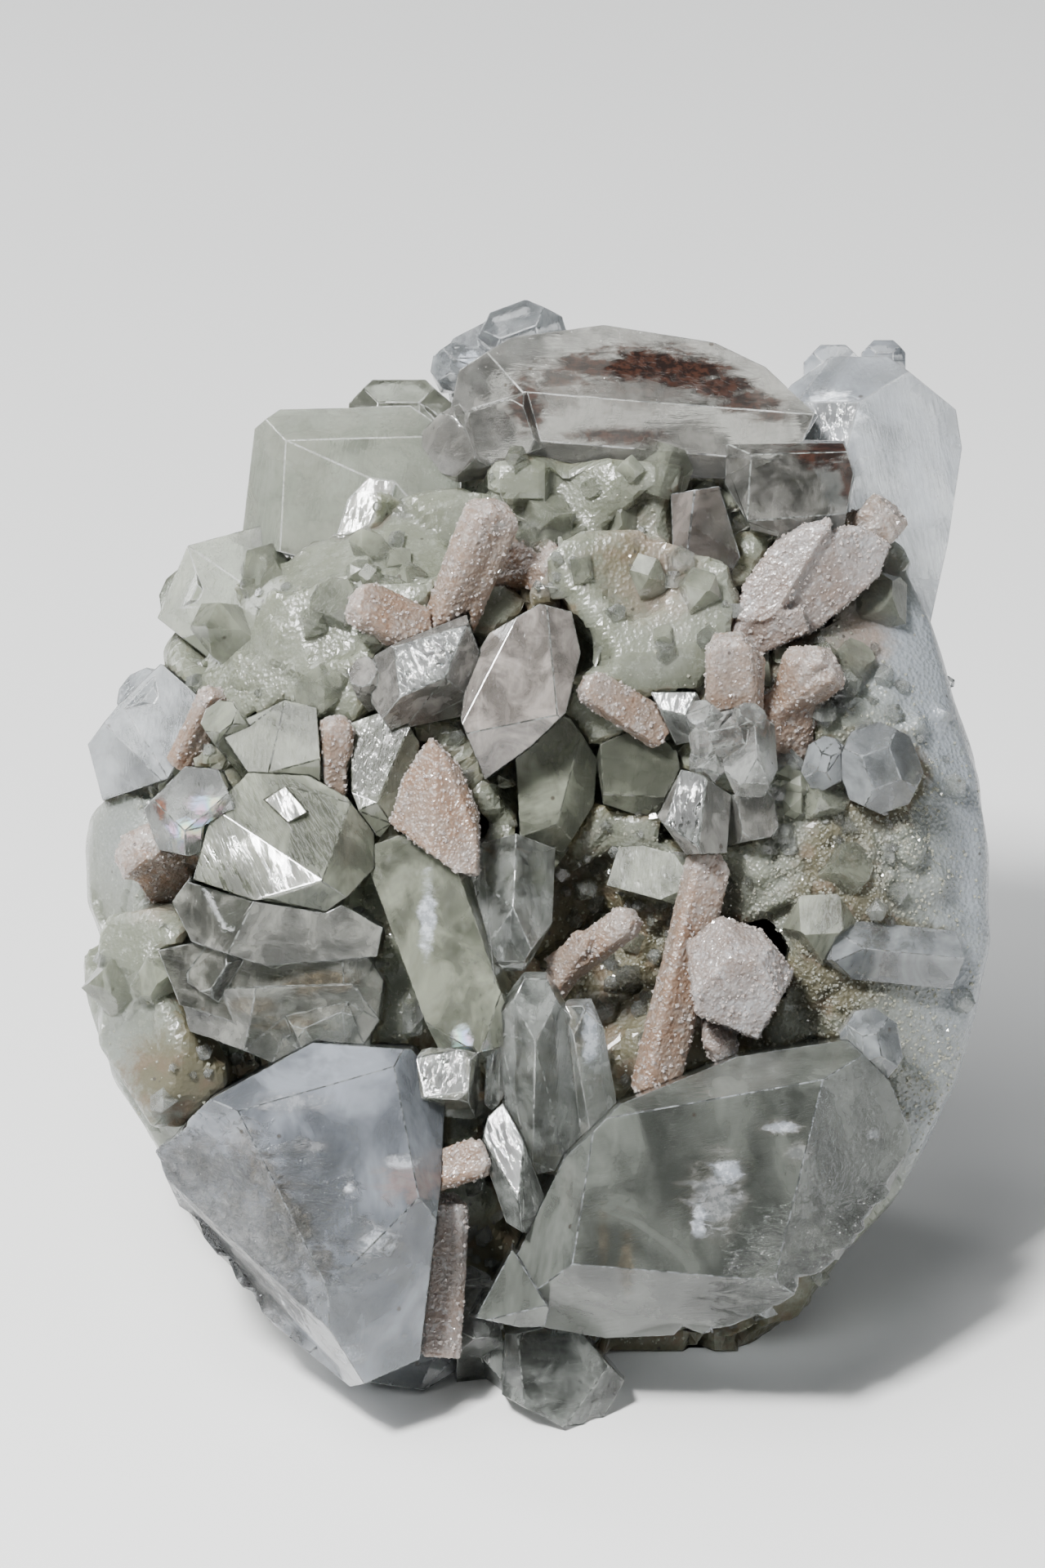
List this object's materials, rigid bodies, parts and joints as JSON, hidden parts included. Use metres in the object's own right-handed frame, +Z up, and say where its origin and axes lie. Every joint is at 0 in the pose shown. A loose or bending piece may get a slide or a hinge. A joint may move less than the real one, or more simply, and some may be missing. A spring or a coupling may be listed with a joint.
{
  "type": "apophyllite cluster",
  "caption": "Free-standing cluster of pale green and colourless apophyllite crystals with peach stilbite blades, on its own host rock.",
  "frame": {"origin": "on the surface the cluster stands on, under the middle of its bounding box", "axes": "+X to the right seen from the front, +Y from the crystal face to the back, +Z up; the crystal face leans back 25 degrees and looks along -Y"},
  "size_m": [0.061, 0.0582, 0.0608],
  "materials": {
    "host": "milky, granular and slightly translucent, with olive-brown dirt in its hollows",
    "apophyllite_clear": "colourless and glassy, with fine striations and flashing faces",
    "apophyllite_milky": "bluish white, translucent, with veils inside",
    "apophyllite_green": "pale sage green, translucent, vitreous",
    "apophyllite_smoky": "clear to milky with a dark red-brown inclusion under its upper edge",
    "stilbite": "peach pink, satin, dusted with sparkling druse"
  },
  "bodies": {
    "root": {"apophyllite_arrow": "apophyllite_milky", "apophyllite_back_block": "apophyllite_green", "apophyllite_back_spire": "apophyllite_green", "apophyllite_back_top": "apophyllite_milky", "apophyllite_bottom_clear": "apophyllite_clear", "apophyllite_bottom_left": "apophyllite_milky", "apophyllite_bottom_mid": "apophyllite_clear", "apophyllite_broken_plates": "apophyllite_clear", "apophyllite_centre": "apophyllite_clear", "apophyllite_clear_prisms": "apophyllite_clear", "apophyllite_flash_prism": "apophyllite_clear", "apophyllite_green_block": "apophyllite_green", "apophyllite_green_tall": "apophyllite_green", "apophyllite_hanging": "apophyllite_clear", "apophyllite_inner_left": "apophyllite_green", "apophyllite_kite": "apophyllite_clear", "apophyllite_left_back_block": "apophyllite_green", "apophyllite_left_clear": "apophyllite_clear", "apophyllite_left_dome": "apophyllite_green", "apophyllite_left_edge_lower": "apophyllite_milky", "apophyllite_left_edge_upper": "apophyllite_green", "apophyllite_left_prism": "apophyllite_green", "apophyllite_low_oval": "apophyllite_milky", "apophyllite_lower_left": "apophyllite_milky", "apophyllite_lower_right": "apophyllite_milky", "apophyllite_rear_prism": "apophyllite_milky", "apophyllite_right_clear_group": "apophyllite_clear", "apophyllite_right_cube": "apophyllite_clear", "apophyllite_right_oval": "apophyllite_milky", "apophyllite_right_oval_small": "apophyllite_milky", "apophyllite_small_cube": "apophyllite_clear", "apophyllite_small_pyramid": "apophyllite_clear", "apophyllite_top": "apophyllite_smoky", "apophyllite_top_knobs": "apophyllite_milky", "apophyllite_top_small": "apophyllite_clear", "apophyllite_upper_left": "apophyllite_green", "apophyllite_upper_right_shard": "apophyllite_milky", "host_rock": "host", "stilbite_blade_small": "stilbite", "stilbite_blade_upper": "stilbite", "stilbite_blade_upper_left": "stilbite", "stilbite_block_right": "stilbite", "stilbite_edge_strip": "stilbite", "stilbite_inner_left": "stilbite", "stilbite_left_blade": "stilbite", "stilbite_left_patch": "stilbite", "stilbite_long_blade": "stilbite", "stilbite_low_blade": "stilbite", "stilbite_post": "stilbite", "stilbite_shaded": "stilbite", "stilbite_sheaf_lower": "stilbite", "stilbite_sheaf_right": "stilbite", "stilbite_tongue": "stilbite", "stilbite_upper_right": "stilbite", "stilbite_wedge": "stilbite"}
  },
  "joints": []
}
